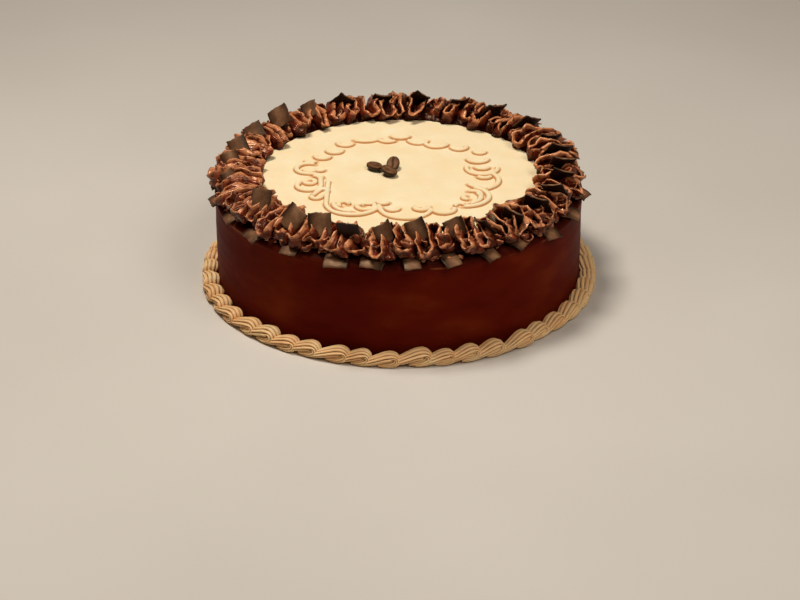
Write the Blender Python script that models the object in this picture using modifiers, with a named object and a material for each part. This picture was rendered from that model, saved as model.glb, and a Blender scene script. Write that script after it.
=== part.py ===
"""An iced chocolate layer cake: a dark coat, a pale top with piped scrolls, a ring of
chocolate ruffles with thin chocolate pieces in it, a shell border and three coffee beans.

Lengths below are in millimetres, and to_metres turns them into Blender's metres.
The front of the cake is towards -Y and its base stands on Z = 0.
"""
import math
import random

import bmesh
import bpy
from mathutils import Matrix, Vector

MM = 0.001
TURN = 2.0 * math.pi

# The coated cake.
BODY_RADIUS = 121.0
BODY_TOP = 68.5
BODY_SEGMENTS = 60
EDGE_BEAD = 0.4

# The pale icing on top.
ICING_RADIUS = 104.0
ICING_GAP = 0.3
ICING_TOP = 71.2
SCROLL_WIDTH = 3.9
SCROLL_STEP = 3.6

# The ring of ruffles: one ribbon of icing that winds in and out round the cake.
RUFFLES = 54
RUFFLE_COLUMNS = 8
RUFFLE_MID_RADIUS = 106.5
RUFFLE_REACH = 13.4
RUFFLE_FLARE = 2.4
RUFFLE_SLANT = -1.2
OUTER_BULGE = 2.6
INNER_BULGE = 1.4
RUFFLE_TOP = 83.2
OUTER_DROOP = 2.6
RUFFLE_FOOT = 71.5
OUTER_FOOT = 69.9
RUFFLE_WALL = 2.7
RUFFLE_LIP = 1.0
RING_SEED = 11

# The thin chocolate pieces.
PIECE_THICKNESS = 1.2
PIECE_GAP = 0.3
PIECE_BENDS = 4
UPPER_FOOT = 74.6
LOWER_RADIUS = 118.4
LOWER_INNER_EDGE = 69.7
LOWER_SLOPE = 14.0
PIECE_SEED = 5

# The shell border at the base.
SHELLS = 46
SHELL_TURN = -2.8
SHELL_JITTER = 0.09
SHELL_COLUMNS = 5
SHELL_SECTION = 8
BORDER_INSIDE = 121.45
BORDER_OUTSIDE = 133.0
SHELL_HEAD_HEIGHT = 9.9
SHELL_TAIL_HEIGHT = 5.6

# The coffee beans.
BEAN_LENGTH = 12.4
BEAN_WIDTH = 8.8
BEAN_HEIGHT = 5.2
BEAN_GROOVE = 1.0

# Each upper piece: place round the cake in degrees, distance from its middle,
# turn within its own plane, lean over to the next ruffle, width, bend, and how far
# it is swung round from pointing straight outwards.
UPPER_PIECES = [
    (-144.5, 108, 8, 30, 16.5, -80, -75),
    (-127.0, 110, -26, 36, 15.5, -65, -83),
    (-117.0, 108, 4, 26, 15.5, -40, -73),
    (-105.7, 112, 86, -18, 15.0, 12, -4),
    (-94.5, 109, 16, 14, 13.5, -95, -55),
    (-84.0, 108, 24, 16, 14.0, -90, -101),
    (-71.1, 108, 22, 18, 13.5, 80, -109),
    (-60.5, 109, -16, 38, 13.0, 40, 12),
    (-49.4, 110, 24, 34, 14.0, 26, 16),
    (-37.2, 109, 16, 34, 15.5, 14, 18),
    (-24.6, 110, -14, 36, 15.0, 26, 8),
    (-13.0, 108, 22, 34, 15.0, 26, 8),
    (-2.0, 107, 12, 38, 16.0, 22, 2),
    (8.6, 107, 18, 36, 16.0, 24, -2),
    (19.6, 106, 14, 38, 15.0, 26, -6),
    (34.5, 106, 30, 36, 15.5, 24, -14),
    (52.2, 107, 12, 38, 16.0, 34, -26),
    (67.3, 107, 8, 38, 14.5, 40, -42),
    (82.6, 106, 42, 30, 13.0, 30, -78),
    (96.4, 106, 10, 34, 13.5, 50, -92),
    (111.6, 106, 42, 26, 13.0, 40, -108),
    (126.3, 105, 38, 30, 13.0, -30, 10),
    (139.5, 107, 42, 30, 15.0, -14, 8),
    (154.3, 108, 38, 34, 13.5, -40, 10),
    (167.6, 109, 24, 30, 13.0, -60, 14),
    (178.6, 110, 14, 30, 13.0, -95, 20),
    (-168.4, 112, 20, 34, 11.0, -70, 14),
]

# Places of the lower pieces that can be seen at the front, in degrees.
LOWER_FRONT = [-166.8, -153.5, -138.8, -124.1, -108.6, -97.6, -86.2, -74.6,
               -62.4, -50.8, -37.6, -23.0, -8.0]
LOWER_BACK = 13

# Each scroll is one piped line wound along pegs: middle x, middle y, radius at the
# start, radius at the end, angle at the start, angle at the end.
SCROLLS = [
    # The large scroll at the front left, with its inner line and two curls.
    [(-30.5, -12.0, 15.5, 15.5, 172, 180), (-29.0, -43.5, 17.5, 17.0, 180, 350)],
    [(-28.8, -43.5, 13.0, 12.6, 178, 268)],
    [(-34.8, -44.5, 3.9, 2.6, 235, -10)],
    [(-20.8, -47.4, 6.0, 5.4, 165, 395), (-21.6, -46.4, 2.0, 1.0, 60, 200)],
    [(-9.5, -40.5, 4.4, 3.6, 200, 330)],
    # The round scroll at the front.
    [(4.9, -49.6, 16.8, 16.4, 176, 352)],
    [(-3.4, -50.2, 4.6, 3.8, 175, 350)],
    [(13.8, -49.3, 6.0, 3.2, 10, -190), (12.8, -49.2, 2.0, 1.4, 180, 300)],
    # The small lobe and the large scroll at the front right.
    [(29.0, -52.0, 6.8, 6.8, 190, 372)],
    [(44.0, -31.5, 17.0, 12.6, 262, 428)],
    [(43.0, -33.0, 11.5, 9.6, 285, 395)],
    [(40.0, -46.5, 3.4, 2.4, 190, 20)],
    [(48.4, -32.5, 8.2, 5.0, 112, 5)],
    [(44.6, -35.0, 3.0, 2.4, 100, 290)],
    # The stack of cups up the right side.
    [(51.0, -7.0, 16.0, 14.0, -66, 40)],
    [(57.0, -8.0, 12.8, 12.4, 208, 258)],
    [(56.8, -0.2, 4.8, 4.4, 200, 340)],
    [(55.4, 11.0, 10.2, 10.4, 165, 368)],
    [(55.6, 14.2, 5.0, 4.6, 195, 340)],
    [(53.4, 27.0, 7.4, 6.4, 190, 352)],
    [(54.8, 38.4, 3.8, 3.4, 180, 360)],
    # The shallow cups round the back.
    [(41.2, 46.0, 5.4, 4.8, 178, 372)],
    [(26.2, 53.0, 8.2, 7.2, 186, 340)],
    [(13.8, 57.6, 6.8, 6.0, 180, 350)],
    [(1.8, 67.0, 7.4, 6.4, 205, 330)],
    [(-7.6, 60.4, 6.0, 6.6, 196, 326)],
    [(-22.2, 67.5, 13.0, 12.0, 232, 322)],
    [(-36.0, 52.6, 5.2, 5.0, 176, 352)],
    [(-42.9, 40.4, 5.2, 5.0, 186, 365)],
    [(-50.8, 31.0, 5.2, 5.0, 182, 350)],
    # On the left: a hook over a spiral, each with a curl in it, and a narrow loop.
    [(-57.5, -6.0, 8.0, 8.0, 15, 90), (-59.8, 9.8, 7.3, 8.6, 262, 62)],
    [(-58.6, 8.8, 3.8, 3.6, 180, 345), (-51.8, 9.4, 3.0, 2.8, 195, 340)],
    [(-58.4, 23.0, 3.6, 3.2, 180, 340)],
    [(-58.6, -16.4, 7.4, 8.0, 140, 370), (-58.4, -7.4, 7.4, 7.2, 10, 75)],
    [(-58.0, -10.6, 3.8, 3.2, 170, 440)],
    [(-53.2, -33.6, 3.0, 3.0, 150, 330), (-48.8, -25.0, 2.8, 2.8, 330, 505),
     (-53.2, -33.6, 3.0, 3.0, 145, 150)],
]


def to_metres(*values):
    """These millimetres as a vector in metres."""
    return Vector([value * MM for value in values])


def on_circle(radius, angle, height=0.0):
    """The point at this radius and angle round the cake, in millimetres."""
    return Vector((radius * math.cos(angle), radius * math.sin(angle), height))


def clear_scene():
    """Removes what the scene starts with."""
    for item in list(bpy.data.objects):
        bpy.data.objects.remove(item, do_unlink=True)


def make_collection(name):
    """A collection of this name in the scene."""
    collection = bpy.data.collections.new(name)
    bpy.context.scene.collection.children.link(collection)
    return collection


def make_material(name, colour, roughness):
    """A plain material, with the colour in linear values."""
    material = bpy.data.materials.new(name)
    material.use_nodes = True
    shader = material.node_tree.nodes["Principled BSDF"]
    shader.inputs["Base Color"].default_value = (*colour, 1.0)
    shader.inputs["Roughness"].default_value = roughness
    shader.inputs["Metallic"].default_value = 0.0
    return material


def chocolate_coat_material():
    return make_material("chocolate_coat", (0.052, 0.008, 0.004), 0.42)


def pale_icing_material():
    return make_material("pale_icing", (0.93, 0.72, 0.40), 0.75)


def chocolate_icing_material():
    return make_material("chocolate_icing", (0.27, 0.095, 0.045), 0.4)


def dark_chocolate_material():
    return make_material("dark_chocolate", (0.085, 0.045, 0.027), 0.55)


def light_icing_material():
    return make_material("light_icing", (0.60, 0.35, 0.165), 0.6)


def coffee_bean_material():
    return make_material("coffee_bean", (0.060, 0.026, 0.015), 0.4)


def add_object(name, mesh_builder, material, collection):
    """Turns a bmesh into an object of the collection."""
    mesh = bpy.data.meshes.new(name)
    mesh_builder.to_mesh(mesh)
    mesh_builder.free()
    item = bpy.data.objects.new(name, mesh)
    collection.objects.link(item)
    mesh.materials.append(material)
    return item


def settle(item):
    """Makes the object's modifiers and its place part of its mesh."""
    bpy.context.view_layer.update()
    graph = bpy.context.evaluated_depsgraph_get()
    mesh = bpy.data.meshes.new_from_object(item.evaluated_get(graph))
    mesh.transform(item.matrix_world)
    item.modifiers.clear()
    item.data = mesh
    item.matrix_world = Matrix.Identity(4)
    return item


def combine(item, others, operation):
    """Fuses a whole collection with the object or cuts it away, and empties it."""
    boolean = item.modifiers.new(operation.lower(), "BOOLEAN")
    boolean.operation = operation
    boolean.operand_type = "COLLECTION"
    boolean.collection = others
    boolean.solver = "MANIFOLD"
    settle(item)
    for other in list(others.objects):
        bpy.data.objects.remove(other, do_unlink=True)
    bpy.data.collections.remove(others)
    return item


def keep_largest(item):
    """Drops the loose scraps that a cut leaves."""
    builder = bmesh.new()
    builder.from_mesh(item.data)
    unseen = set(builder.verts)
    pieces = []
    while unseen:
        piece = [unseen.pop()]
        for vertex in piece:
            for edge in vertex.link_edges:
                other = edge.other_vert(vertex)
                if other in unseen:
                    unseen.remove(other)
                    piece.append(other)
        pieces.append(piece)
    pieces.sort(key=len)
    for piece in pieces[:-1]:
        bmesh.ops.delete(builder, geom=piece, context="VERTS")
    builder.to_mesh(item.data)
    builder.free()
    return item


def turned(name, profile, segments, material, collection):
    """A solid of revolution about Z from (radius, height) points, top to bottom."""
    builder = bmesh.new()
    points = [builder.verts.new(to_metres(radius, 0.0, height)) for radius, height in profile]
    for first, second in zip(points, points[1:]):
        builder.edges.new((first, second))
    if profile[0][0] > 0.0:
        builder.edges.new((points[-1], points[0]))
    item = add_object(name, builder, material, collection)
    screw = item.modifiers.new("turn", "SCREW")
    screw.steps = segments
    screw.render_steps = segments
    screw.use_merge_vertices = True
    screw.merge_threshold = 0.00001
    screw.use_normal_calculate = True
    return settle(item)


def face_outwards(item):
    """Points the object's faces outwards."""
    builder = bmesh.new()
    builder.from_mesh(item.data)
    bmesh.ops.recalc_face_normals(builder, faces=builder.faces)
    if builder.calc_volume(signed=True) < 0.0:
        bmesh.ops.reverse_faces(builder, faces=builder.faces)
    builder.to_mesh(item.data)
    builder.free()
    return item


def make_body(collection):
    """The coated layers: one solid with a soft shoulder and a faint bead at its edge."""
    side = BODY_RADIUS
    profile = [
        (0.0, BODY_TOP),
        (side - 13.0, BODY_TOP),
        (side - 5.0, BODY_TOP - 1.4),
        (side - 0.9, BODY_TOP - 3.6),
        (side + EDGE_BEAD, BODY_TOP - 5.4),
        (side, BODY_TOP - 8.0),
        (side, 1.6),
        (side - 1.5, 0.0),
        (0.0, 0.0),
    ]
    body = turned("cake_body", profile, BODY_SEGMENTS, chocolate_coat_material(), collection)
    return face_outwards(body)


def peg_points(pegs):
    """Points along one piped line that winds round its pegs."""
    points = []
    for x, y, first_radius, last_radius, first_angle, last_angle in pegs:
        sweep = math.radians(last_angle - first_angle)
        length = abs(sweep) * (first_radius + last_radius) / 2.0
        steps = max(3, round(length / SCROLL_STEP))
        for step in range(steps + 1):
            share = step / steps
            angle = math.radians(first_angle) + sweep * share
            radius = first_radius + (last_radius - first_radius) * share
            points.append((x + radius * math.cos(angle), y + radius * math.sin(angle)))
    return points


def make_scroll(name, pegs, material, collection):
    """One piped line as a round bar that lies half in the icing."""
    points = peg_points(pegs)
    curve = bpy.data.curves.new(name, "CURVE")
    curve.dimensions = "3D"
    curve.twist_mode = "Z_UP"
    curve.bevel_depth = SCROLL_WIDTH / 2.0 * MM
    curve.bevel_resolution = 1
    curve.use_fill_caps = True
    spline = curve.splines.new("POLY")
    spline.points.add(len(points) - 1)
    for index, (x, y) in enumerate(points):
        spline.points[index].co = (*to_metres(x, y, ICING_TOP), 1.0)
        from_end = min(index, len(points) - 1 - index)
        spline.points[index].radius = 0.62 if from_end == 0 else 1.0
    guide = bpy.data.objects.new(name, curve)
    collection.objects.link(guide)
    bpy.context.view_layer.update()
    graph = bpy.context.evaluated_depsgraph_get()
    builder = bmesh.new()
    builder.from_mesh(bpy.data.meshes.new_from_object(guide.evaluated_get(graph)))
    bpy.data.objects.remove(guide, do_unlink=True)
    bmesh.ops.remove_doubles(builder, verts=builder.verts, dist=0.00001)
    return face_outwards(add_object(name, builder, material, collection))


def make_icing(collection):
    """The pale disc on the cake with its piped scrolls."""
    material = pale_icing_material()
    underside = BODY_TOP + ICING_GAP
    profile = [
        (0.0, ICING_TOP),
        (ICING_RADIUS, ICING_TOP),
        (ICING_RADIUS, underside),
        (0.0, underside),
    ]
    icing = turned("icing_top", profile, BODY_SEGMENTS, material, collection)
    face_outwards(icing)
    scrolls = make_collection("scroll_lines")
    for index, pegs in enumerate(SCROLLS):
        make_scroll(f"scroll_{index + 1}", pegs, material, scrolls)
    return keep_largest(combine(icing, scrolls, "UNION"))


def ruffle_turns():
    """What differs from turn to turn: reach, height, lean, shift and bulge in millimetres,
    and how far the petals are pinched down where they turn.

    Even turns are on the outside of the ring and odd ones on the inside, and every
    second ruffle is a small one."""
    draw = random.Random(RING_SEED)
    turns = []
    for index in range(2 * RUFFLES):
        large = index % 4 < 2
        if index % 2 == 0:
            reach = (1.0 if large else -3.0) + draw.uniform(-1.7, 1.5)
            height = draw.uniform(-3.0, 1.8)
            lean = draw.uniform(2.2, 7.4)
            bulge = OUTER_BULGE + draw.uniform(-0.8, 0.9)
            pinch = draw.uniform(0.74, 0.97)
        else:
            reach = (0.8 if large else -2.4) + draw.uniform(-1.3, 1.3)
            height = (0.6 if large else -1.4) + draw.uniform(-1.5, 1.3)
            lean = draw.uniform(2.2, 6.2)
            bulge = INNER_BULGE + draw.uniform(-0.6, 0.7)
            pinch = draw.uniform(0.66, 0.93)
        turns.append((reach, height, lean, draw.uniform(-2.1, 2.1), bulge, pinch))
    return turns


def between_turns(turns, along):
    """The values of the turns on both sides of this place, blended smoothly."""
    place = (2.0 * along) % len(turns)
    first = int(place)
    share = place - first
    share = share * share * (3.0 - 2.0 * share)
    here = turns[first]
    there = turns[(first + 1) % len(turns)]
    return [a + (b - a) * share for a, b in zip(here, there)]


def foot_height(radius):
    """How low the ribbon may reach: on the icing inside, a little lower outside it."""
    share = (radius - RUFFLE_MID_RADIUS - 3.0) / (RUFFLE_REACH - 3.0)
    return RUFFLE_FOOT + (OUTER_FOOT - RUFFLE_FOOT) * min(1.0, max(0.0, share))


def ruffle_point(turns, along, up):
    """A point of the ribbon: along in ruffles round the ring, up from 0 to 1.

    Each leg of the ribbon is a petal, high in its middle and low where it turns."""
    reach, height, lean, shift, bulge, pinch = between_turns(turns, along)
    wave = math.tanh(1.5 * math.cos(TURN * along)) / math.tanh(1.5)
    radius = RUFFLE_MID_RADIUS + (RUFFLE_REACH + RUFFLE_FLARE * up + reach) * wave
    sideways = shift + bulge * math.sin(2.0 * TURN * along) + RUFFLE_SLANT * wave - lean * up
    angle = TURN * along / RUFFLES + sideways / radius
    outside = max(0.0, wave)
    foot = foot_height(radius)
    arch = math.sqrt(1.0 - (pinch * wave) ** 2)
    top = foot + (RUFFLE_TOP + height - OUTER_DROOP * outside - foot) * arch
    return on_circle(radius, angle, foot + (top - foot) * up)


def make_ring_ribbon(material, collection):
    """The ruffled ribbon: a long strip laid along the winding path, closed to a ring
    and thickened, with a thin lip."""
    columns = RUFFLES * RUFFLE_COLUMNS
    builder = bmesh.new()
    bmesh.ops.create_grid(builder, x_segments=columns, y_segments=1, size=0.5)
    turns = ruffle_turns()
    weights = builder.verts.layers.deform.verify()
    for vertex in builder.verts:
        along = (round((vertex.co.x + 0.5) * columns) % columns + 0.5) / RUFFLE_COLUMNS
        up = vertex.co.y + 0.5
        vertex.co = to_metres(*ruffle_point(turns, along, up))
        vertex[weights][0] = 1.0 - up
    bmesh.ops.remove_doubles(builder, verts=builder.verts, dist=0.00001)
    bmesh.ops.recalc_face_normals(builder, faces=builder.faces)
    ribbon = add_object("ruffle_ring", builder, material, collection)
    ribbon.vertex_groups.new(name="foot")
    solidify = ribbon.modifiers.new("wall", "SOLIDIFY")
    solidify.thickness = RUFFLE_WALL * MM
    solidify.offset = 0.0
    solidify.vertex_group = "foot"
    solidify.thickness_vertex_group = RUFFLE_LIP / RUFFLE_WALL
    settle(ribbon)
    for vertex in ribbon.data.vertices:
        radius = math.hypot(vertex.co.x, vertex.co.y) / MM
        vertex.co.z = max(vertex.co.z, foot_height(radius) * MM)
    return face_outwards(ribbon)


def piece_form(name, width, height, bend, spread, material, collection):
    """A thin bent plate about the origin: width along X, height along Z.

    Bend is the angle that it turns through from side to side, hollow towards +Y or, below
    zero, towards -Y. Spread makes an enlarged copy for the slot that the plate stands in."""
    width = width + 2.0 * spread
    height = height + 2.0 * spread
    builder = bmesh.new()
    bmesh.ops.create_grid(builder, x_segments=PIECE_BENDS, y_segments=1, size=0.5)
    arc = math.radians(bend)
    radius = (width - 2.0 * spread) / arc
    for vertex in builder.verts:
        across = vertex.co.x * width / radius
        x = radius * math.sin(across)
        y = radius * (1.0 - math.cos(across)) - radius * (1.0 - math.cos(arc / 2.0)) / 2.0
        vertex.co = to_metres(x, y, vertex.co.y * height)
    item = add_object(name, builder, material, collection)
    solidify = item.modifiers.new("thickness", "SOLIDIFY")
    solidify.thickness = (PIECE_THICKNESS + 2.0 * spread) * MM
    solidify.offset = 0.0
    return item


def place_upper_piece(item, degrees, radius, turn, lean, size, heading):
    """Stands the piece on edge in the ring. Its width points outwards, swung round by the
    heading, and it leans over as the ruffles do.

    A negative lean stands it across the ruffles instead, leaning outwards."""
    angle = math.radians(degrees)
    along = angle + math.radians(heading)
    outwards = Vector((math.cos(along), math.sin(along), 0.0))
    round_the_cake = Vector((-math.sin(along), math.cos(along), 0.0))
    upwards = Vector((0.0, 0.0, 1.0))
    if lean < 0:
        outwards, round_the_cake = round_the_cake, -outwards
    axes = Matrix((outwards, round_the_cake, upwards)).transposed()
    tilt = Matrix.Rotation(math.radians(abs(lean)), 3, "X")
    roll = Matrix.Rotation(math.radians(turn), 3, "Y")
    turned_by = math.radians(abs(turn))
    half = size / 2.0 * (math.cos(turned_by) + math.sin(turned_by)) * math.cos(math.radians(lean))
    where = on_circle(radius, angle, UPPER_FOOT + half)
    item.matrix_world = Matrix.Translation(to_metres(*where)) @ (axes @ tilt @ roll).to_4x4()


def place_lower_piece(item, degrees, turn, slope, reach, half):
    """Lays the piece nearly flat on the cake's shoulder, with its outer edge free."""
    angle = math.radians(degrees)
    outwards = Vector((math.cos(angle), math.sin(angle), 0.0))
    round_the_cake = Vector((-math.sin(angle), math.cos(angle), 0.0))
    axes = Matrix((round_the_cake, Vector((0.0, 0.0, -1.0)), outwards)).transposed()
    tilt = Matrix.Rotation(math.radians(-slope), 3, "X")
    roll = Matrix.Rotation(math.radians(turn), 3, "Y")
    height = LOWER_INNER_EDGE - half * math.sin(math.radians(slope))
    where = on_circle(LOWER_RADIUS + reach, angle, height - reach * math.tan(math.radians(slope)))
    item.matrix_world = Matrix.Translation(to_metres(*where)) @ (axes @ tilt @ roll).to_4x4()


def make_upper_pieces(material, collection, cutters):
    """The pieces that stand in the ruffles, and the cutter of each one's slot."""
    draw = random.Random(PIECE_SEED)
    for index, (degrees, radius, turn, lean, size, bend, heading) in enumerate(UPPER_PIECES):
        height = size * draw.uniform(0.86, 1.0)
        for name, spread, where in (
            (f"upper_piece_{index + 1:02d}", 0.0, collection),
            (f"slot_{index + 1:02d}", PIECE_GAP, cutters),
        ):
            item = piece_form(name, size, height, bend, spread, material, where)
            place_upper_piece(item, degrees, radius, turn, lean, size, heading)
            face_outwards(settle(item))


def make_lower_pieces(material, collection):
    """The pieces under the outer turns of the ruffles."""
    draw = random.Random(PIECE_SEED + 1)
    first = LOWER_FRONT[-1]
    last = LOWER_FRONT[0] + 360.0
    places = list(LOWER_FRONT)
    for index in range(LOWER_BACK):
        share = (index + 1) / (LOWER_BACK + 1)
        places.append(first + (last - first) * share + draw.uniform(-1.5, 1.5))
    for index, degrees in enumerate(places):
        width = draw.uniform(10.5, 15.5)
        height = draw.uniform(11.0, 14.5)
        bend = draw.uniform(8.0, 30.0)
        slope = LOWER_SLOPE + draw.uniform(-3.0, 3.0)
        turn = draw.uniform(-22.0, 22.0)
        item = piece_form(f"lower_piece_{index + 1:02d}", width, height, bend, 0.0, material, collection)
        half = (width * math.sin(math.radians(abs(turn))) + height * math.cos(math.radians(turn))) / 2.0
        place_lower_piece(item, degrees, turn, slope, draw.uniform(-1.0, 1.8), half)
        face_outwards(settle(item))


def make_ring(collection):
    """The ruffle ring, with a slot for each upper piece."""
    ring = make_ring_ribbon(chocolate_icing_material(), collection)
    cutters = make_collection("slots")
    make_upper_pieces(dark_chocolate_material(), collection, cutters)
    combine(ring, cutters, "DIFFERENCE")
    return keep_largest(ring)


def shell_height(share):
    """The height of a shell from its thin tail (0) to the end of its round head (1)."""
    rise = math.sin(min(1.0, share * 1.15) * math.pi / 2.0)
    return SHELL_TAIL_HEIGHT + (SHELL_HEAD_HEIGHT - SHELL_TAIL_HEIGHT) * rise


def shell_places(draw):
    """Where each shell ends round the cake, in radians: even steps, a little uneven."""
    places = []
    for index in range(SHELLS):
        step = index + draw.uniform(-SHELL_JITTER, SHELL_JITTER)
        places.append(math.radians(SHELL_TURN) + step / SHELLS * TURN)
    places.append(places[0] + TURN)
    return places


def make_border(collection):
    """The row of piped shells: a torus whose section swells and shrinks with each one."""
    columns = SHELLS * SHELL_COLUMNS
    half_width = (BORDER_OUTSIDE - BORDER_INSIDE) / 2.0
    middle = (BORDER_OUTSIDE + BORDER_INSIDE) / 2.0
    bpy.ops.mesh.primitive_torus_add(
        major_segments=columns,
        minor_segments=SHELL_SECTION,
        major_radius=middle * MM,
        minor_radius=half_width * MM,
    )
    border = bpy.context.object
    border.name = "shell_border"
    for other in list(border.users_collection):
        other.objects.unlink(border)
    collection.objects.link(border)
    border.data.materials.append(light_icing_material())
    draw = random.Random(SHELLS)
    sizes = [draw.uniform(0.93, 1.05) for _ in range(SHELLS)]
    places = shell_places(draw)
    floor = math.sin(math.radians(45.0))
    for vertex in border.data.vertices:
        x, y, z = vertex.co / MM
        angle = math.atan2(y, x) % TURN
        place = angle / TURN * SHELLS + 0.001
        share = place % 1.0
        shell = int(place) % SHELLS
        size = sizes[shell]
        angle = places[shell] + (places[shell + 1] - places[shell]) * share
        out = (math.hypot(x, y) - middle) / half_width
        up = max(0.0, (z / half_width + floor) / (1.0 + floor))
        width = 1.0 - 0.16 * (1.0 - share) if out > 0.0 else 1.0
        radius = middle + half_width * out * width * (size if out > 0.0 else 1.0)
        radius = min(radius, BORDER_OUTSIDE)
        vertex.co = to_metres(*on_circle(radius, angle, up * size * shell_height(share)))
    return face_outwards(border)


def make_bean(name, x, y, lift, heading, pitch, material, collection):
    """A coffee bean with its grooved side up."""
    builder = bmesh.new()
    bmesh.ops.create_uvsphere(builder, u_segments=12, v_segments=8, radius=0.5)
    for vertex in builder.verts:
        side, up, along = vertex.co
        flat = 0.62 if up > 0.0 else 1.0
        groove = BEAN_GROOVE if up > 0.0 and abs(side) < 0.01 and abs(along) < 0.45 else 0.0
        vertex.co = to_metres(along * BEAN_LENGTH, side * BEAN_WIDTH, up * flat * BEAN_HEIGHT - groove)
    bean = add_object(name, builder, material, collection)
    where = to_metres(x, y, ICING_TOP + ICING_GAP + BEAN_HEIGHT / 2.0 + lift)
    turn = Matrix.Rotation(math.radians(heading), 4, "Z") @ Matrix.Rotation(math.radians(-pitch), 4, "Y")
    bean.matrix_world = Matrix.Translation(where) @ turn
    return face_outwards(settle(bean))


def make_beans(collection):
    """Three beans in the middle, like a heart."""
    material = coffee_bean_material()
    make_bean("coffee_bean_1", -15.8, 9.6, 0.0, -43.0, 0.0, material, collection)
    make_bean("coffee_bean_2", -6.2, 0.6, 0.9, -40.0, -10.0, material, collection)
    make_bean("coffee_bean_3", -3.6, 10.9, 1.0, 80.0, 25.0, material, collection)


def make_cake():
    clear_scene()
    cake = make_collection("chocolate_cake")
    make_body(cake)
    make_icing(cake)
    make_ring(cake)
    make_lower_pieces(bpy.data.materials["dark_chocolate"], cake)
    make_border(cake)
    make_beans(cake)


make_cake()
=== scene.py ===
# %% [markdown]
# # An iced chocolate layer cake
# The cake is a round of layers under a dark chocolate coat. On top lies a disc of pale icing
# with piped scrolls and three coffee beans, and round it winds a ring of ruffled chocolate
# icing with thin curls of chocolate stuck in it. A row of piped shells hides the foot.
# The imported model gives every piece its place, so this lesson starts by loading it. The
# pieces below are finer copies that stand exactly where the plain solids stand. The noise
# that will crumple them gets a seed here, so that every run gives the same cake.

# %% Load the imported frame
import math
import random

import bpy
import numpy as np
from mathutils import Matrix, Vector, noise


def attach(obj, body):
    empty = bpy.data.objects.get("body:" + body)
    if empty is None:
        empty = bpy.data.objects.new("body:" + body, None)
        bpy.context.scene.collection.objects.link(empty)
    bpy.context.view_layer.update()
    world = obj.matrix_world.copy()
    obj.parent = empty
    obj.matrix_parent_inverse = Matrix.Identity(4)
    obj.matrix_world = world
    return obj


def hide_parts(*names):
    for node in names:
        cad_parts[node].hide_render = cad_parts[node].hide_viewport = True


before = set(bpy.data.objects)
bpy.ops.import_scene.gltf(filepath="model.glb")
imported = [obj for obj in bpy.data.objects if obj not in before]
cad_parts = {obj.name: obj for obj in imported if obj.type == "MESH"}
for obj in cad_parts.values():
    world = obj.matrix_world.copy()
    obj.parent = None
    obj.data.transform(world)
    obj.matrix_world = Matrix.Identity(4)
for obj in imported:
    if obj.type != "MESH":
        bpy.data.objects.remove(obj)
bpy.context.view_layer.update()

MM = 0.001
TURN = 2.0 * math.pi
NOISE_SEED = 7
noise.seed_set(NOISE_SEED)

# %% [markdown]
# ## The camera
# The cake was seen from a little over a metre away and about 28 degrees above the table,
# through a long lens that hardly narrows the far side. A lens length and one tilt describe
# that fully, so the camera is placed by numbers and isn't aimed with a constraint.

# %% Place the camera
LENS = 103.07
CAMERA_PLACE = (0.001, -1.375, 0.700)
CAMERA_TILT = 62.326


def new_object(name, data):
    """An object that shows this data, linked into the scene."""
    item = bpy.data.objects.new(name, data)
    bpy.context.scene.collection.objects.link(item)
    return item


camera = new_object("camera", bpy.data.cameras.new("camera"))
camera.data.lens = LENS
camera.data.sensor_width = 36.0
camera.data.clip_start = 0.05
camera.location = CAMERA_PLACE
camera.rotation_euler = (math.radians(CAMERA_TILT), 0.0, 0.0)
bpy.context.scene.camera = camera
bpy.context.scene.view_settings.view_transform = "Standard"
print("camera at", CAMERA_PLACE)

# %% [markdown]
# ## Finishes from nodes
# Chocolate and icing are cloudy, grainy and darker in their hollows, never one flat colour.
# Pictures could be wrapped round the pieces, but nodes that make soft noise need none and stay
# sharp close up. So each finish is one shader, fed by noise, by ramps that turn noise into
# colours, and by bump layers for relief that is too fine to model.

# %% Helpers for finishes
def finish(name):
    """A new material, its node tree and its one shader."""
    material = bpy.data.materials.new(name)
    material.use_nodes = True
    return material, material.node_tree, material.node_tree.nodes["Principled BSDF"]


def feed(tree, shader, sockets):
    """Gives each named socket of the shader a value, or a link to what varies."""
    for name, value in sockets.items():
        if isinstance(value, bpy.types.NodeSocket):
            tree.links.new(value, shader.inputs[name])
        else:
            shader.inputs[name].default_value = value


def soft_noise(tree, scale, detail, stretch=(1.0, 1.0, 1.0)):
    """Noise that follows the object's own coordinates, stretched along its axes."""
    place = tree.nodes.new("ShaderNodeTexCoord")
    stretched = tree.nodes.new("ShaderNodeMapping")
    stretched.inputs["Scale"].default_value = stretch
    lumps = tree.nodes.new("ShaderNodeTexNoise")
    lumps.inputs["Scale"].default_value = scale
    lumps.inputs["Detail"].default_value = detail
    tree.links.new(place.outputs["Object"], stretched.inputs["Vector"])
    tree.links.new(stretched.outputs["Vector"], lumps.inputs["Vector"])
    return lumps.outputs[0]


def ramp(tree, source, *stops):
    """Turns a grey value into colours: each stop is a position and a colour."""
    node = tree.nodes.new("ShaderNodeValToRGB")
    while len(node.color_ramp.elements) < len(stops):
        node.color_ramp.elements.new(0.5)
    for element, (position, colour) in zip(node.color_ramp.elements, stops):
        element.position = position
        element.color = (*colour, 1.0)
    tree.links.new(source, node.inputs["Fac"])
    return node.outputs["Color"]


def relief(tree, shader, *layers):
    """Stacks bump layers: each is a height socket, a strength and a depth in millimetres."""
    below = None
    for height, strength, depth in layers:
        bump = tree.nodes.new("ShaderNodeBump")
        bump.inputs["Strength"].default_value = strength
        bump.inputs["Distance"].default_value = depth * MM
        tree.links.new(height, bump.inputs["Height"])
        if below is not None:
            tree.links.new(below, bump.inputs["Normal"])
        below = bump.outputs["Normal"]
    tree.links.new(below, shader.inputs["Normal"])


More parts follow.
